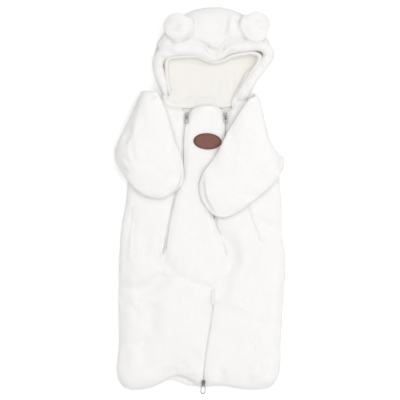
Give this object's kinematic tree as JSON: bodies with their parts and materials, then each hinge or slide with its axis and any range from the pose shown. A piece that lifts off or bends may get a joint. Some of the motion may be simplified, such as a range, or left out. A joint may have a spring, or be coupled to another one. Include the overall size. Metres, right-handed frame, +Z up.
{
  "type": "baby pram suit",
  "caption": "Hooded plush pram suit for a baby, laid flat on its back, with bear ears, two long front zips, folded-in sleeves and a closed bag foot.",
  "frame": {"origin": "centre of the laid suit, on the surface it lies on", "axes": "+X to the right of the picture, +Y from hem to hood, +Z up from the surface, out of the front"},
  "size_m": [0.3449, 0.7756, 0.0649],
  "materials": {
    "plush": "white teddy plush, 6 mm pile, matt",
    "lining": "cream knitted lining, matt",
    "zip_tape": "white coil zip on woven tape",
    "label_tape": "plain woven satin label",
    "patch_leather": "brown leather, low sheen",
    "nickel": "brushed nickel plate"
  },
  "bodies": {
    "suit": {"front_left": "plush", "front_right": "plush", "front_centre": "plush", "back_panel": "plush", "hood_back": "plush", "hood_lining": "lining", "hood_brim": "plush", "ear_left": "plush", "ear_right": "plush", "hood_crown": "plush", "sleeve_left": "plush", "sleeve_right": "plush", "zip_left": "zip_tape", "zip_right": "zip_tape", "zip_centre": "zip_tape", "zip_guard": "plush", "pocket_welt_right": "plush", "pocket_welt_left": "plush", "patch": "patch_leather", "neck_label": "label_tape", "slider_left": "nickel", "slider_right": "nickel", "slider_hem": "nickel"},
    "pull_left": {"pull_left": "nickel"},
    "pull_right": {"pull_right": "nickel"},
    "pull_hem": {"pull_hem": "nickel"}
  },
  "joints": [
    {"name": "pull_left_swing", "type": "hinge", "parent": "suit", "child": "pull_left", "pos_m": [-0.02585, 0.16661, 0.0314], "axis": [-0.9945, 0.1045, 0], "range_deg": [0, 150]},
    {"name": "pull_right_swing", "type": "hinge", "parent": "suit", "child": "pull_right", "pos_m": [0.05117, 0.16661, 0.03075], "axis": [-0.9976, -0.0698, 0], "range_deg": [0, 150]},
    {"name": "pull_hem_swing", "type": "hinge", "parent": "suit", "child": "pull_hem", "pos_m": [0.0066, -0.36983, 0.02801], "axis": [-0.9986, 0.0523, 0], "range_deg": [0, 150]}
  ]
}
